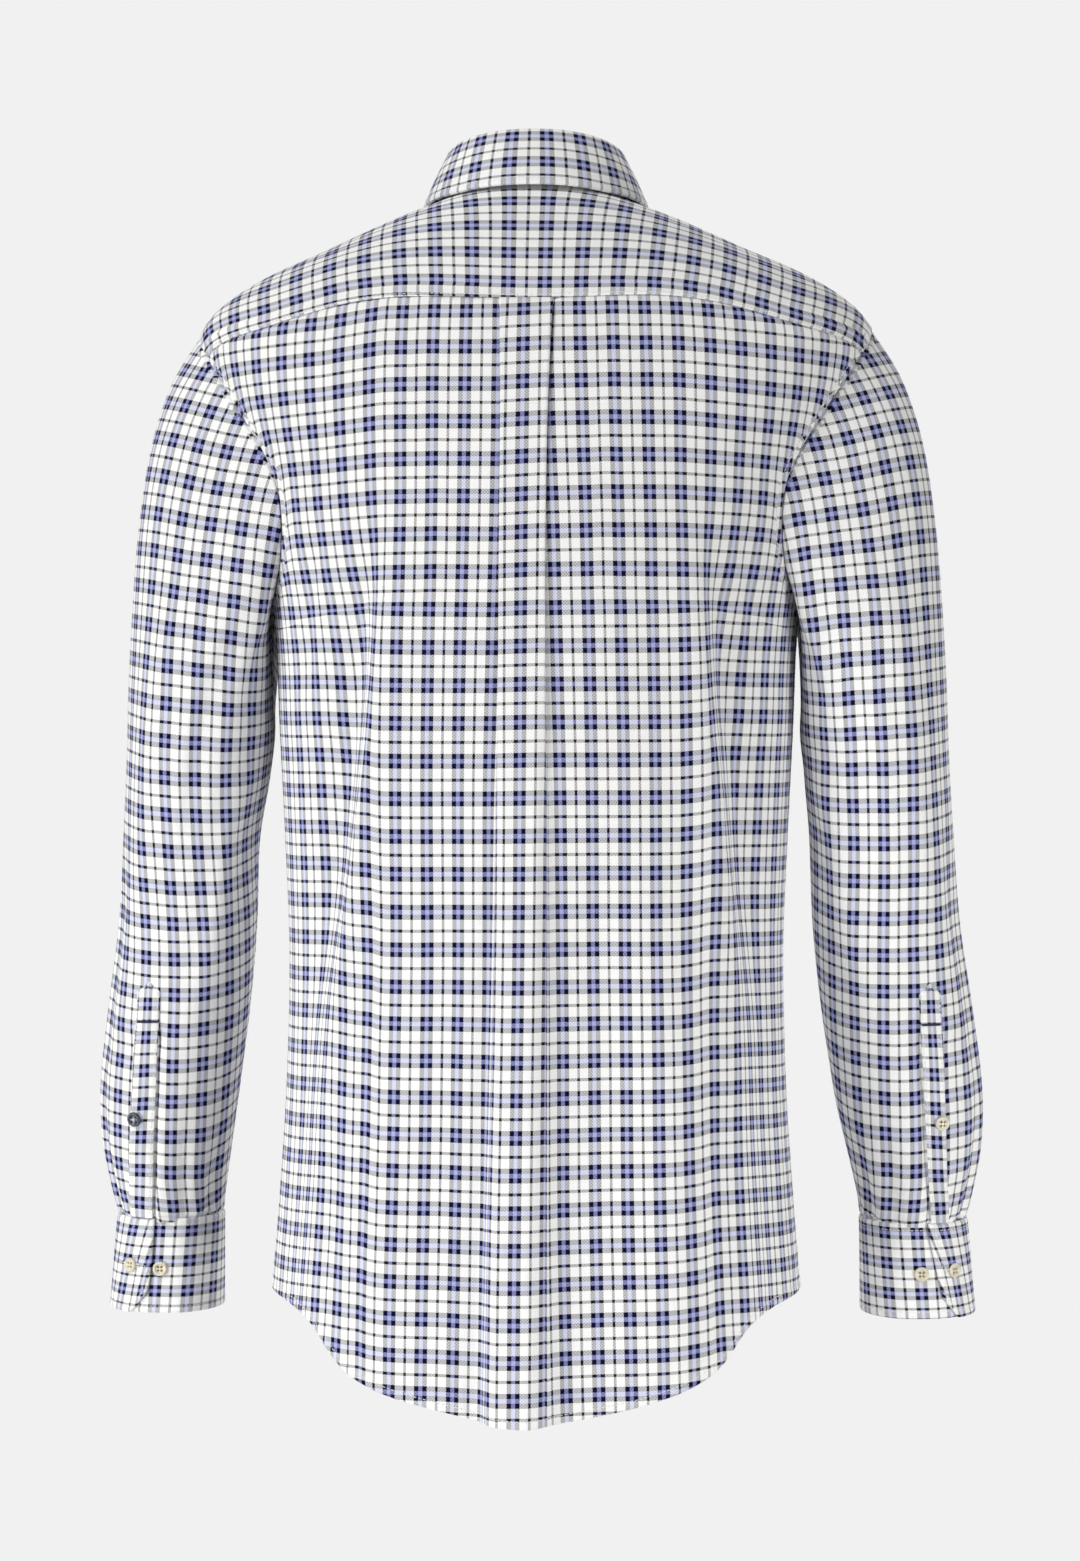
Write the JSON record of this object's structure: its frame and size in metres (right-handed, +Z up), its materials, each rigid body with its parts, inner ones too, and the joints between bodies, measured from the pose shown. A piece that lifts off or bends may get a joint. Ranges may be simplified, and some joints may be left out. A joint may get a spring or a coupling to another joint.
{
  "type": "long-sleeved shirt",
  "caption": "Long-sleeved checked cotton shirt, filled out and hollow, with a yoke, back pleat, buttoned front, pointed collar and buttoned cuffs.",
  "frame": {"origin": "midway between the shoulders at the height of the back neck seam, where the wearer's shoulders carry the shirt", "axes": "+Z up, +X to the wearer's left, the front faces -Y and the back +Y"},
  "size_m": [0.5754, 0.2704, 0.7935],
  "materials": {
    "checked_cotton": "woven cotton in a white, navy, blue and dark olive check, matt with a faint sheen",
    "cream_button": "polished cream resin",
    "navy_button": "polished dark navy resin"
  },
  "bodies": {
    "root": {"back": "checked_cotton", "yoke": "checked_cotton", "front_left": "checked_cotton", "front_right": "checked_cotton", "front_placket": "checked_cotton", "sleeve_left": "checked_cotton", "sleeve_right": "checked_cotton", "sleeve_placket_left": "checked_cotton", "sleeve_placket_right": "checked_cotton", "cuff_left": "checked_cotton", "cuff_right": "checked_cotton", "collar_stand": "checked_cotton", "collar_fall": "checked_cotton", "button_collar": "cream_button", "button_front_1": "cream_button", "button_front_2": "cream_button", "button_front_3": "cream_button", "button_front_4": "cream_button", "button_front_5": "cream_button", "button_front_6": "cream_button", "button_sleeve_placket_right": "cream_button", "button_cuff_left_1": "cream_button", "button_cuff_left_2": "cream_button", "button_cuff_right_1": "cream_button", "button_cuff_right_2": "cream_button", "button_sleeve_placket_left": "navy_button"}
  },
  "joints": []
}
